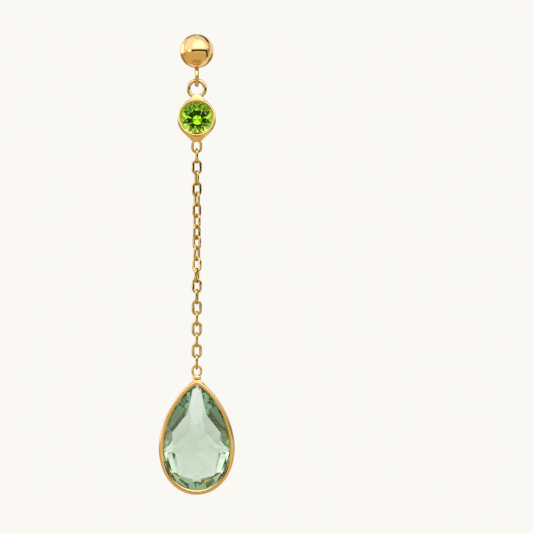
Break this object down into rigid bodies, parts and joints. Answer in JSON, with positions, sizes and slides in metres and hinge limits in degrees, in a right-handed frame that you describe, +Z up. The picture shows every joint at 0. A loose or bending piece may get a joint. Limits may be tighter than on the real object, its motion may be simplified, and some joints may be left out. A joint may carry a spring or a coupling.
{
  "type": "ball stud drop earring",
  "caption": "Gold ball stud earring with a hanging drop: a small round green stone in a bezel, a fine cable chain and a large faceted pear-shaped pale green stone in a bezel.",
  "frame": {"origin": "on the axis of the ear post, where the post leaves the back of the ball", "axes": "+Y along the post, away from the face of the earring; +Z up; +X to the right of someone who looks at its face"},
  "size_m": [0.009, 0.0142, 0.0542],
  "materials": {
    "gold": "polished yellow gold",
    "peridot": "polished and faceted, clear lime green",
    "green_quartz": "polished and faceted, clear pale grey-green"
  },
  "bodies": {
    "stud": {"stud": "gold"},
    "dangle": {"peridot_setting": "gold", "peridot_stone": "peridot", "chain_stretch_1": "gold", "chain_stretch_2": "gold", "chain_stretch_3": "gold", "chain_stretch_4": "gold", "chain_stretch_5": "gold"},
    "pear_drop": {"pear_setting": "gold", "pear_stone": "green_quartz"}
  },
  "joints": [
    {"name": "dangle_swing", "type": "hinge", "parent": "stud", "child": "dangle", "pos_m": [0, -0.0023, -0.004], "axis": [0, 1, 0], "range_deg": [-75, 75]},
    {"name": "pear_swing", "type": "hinge", "parent": "dangle", "child": "pear_drop", "pos_m": [0, -0.0023, -0.03734], "axis": [0, 1, 0], "range_deg": [-75, 75]}
  ]
}
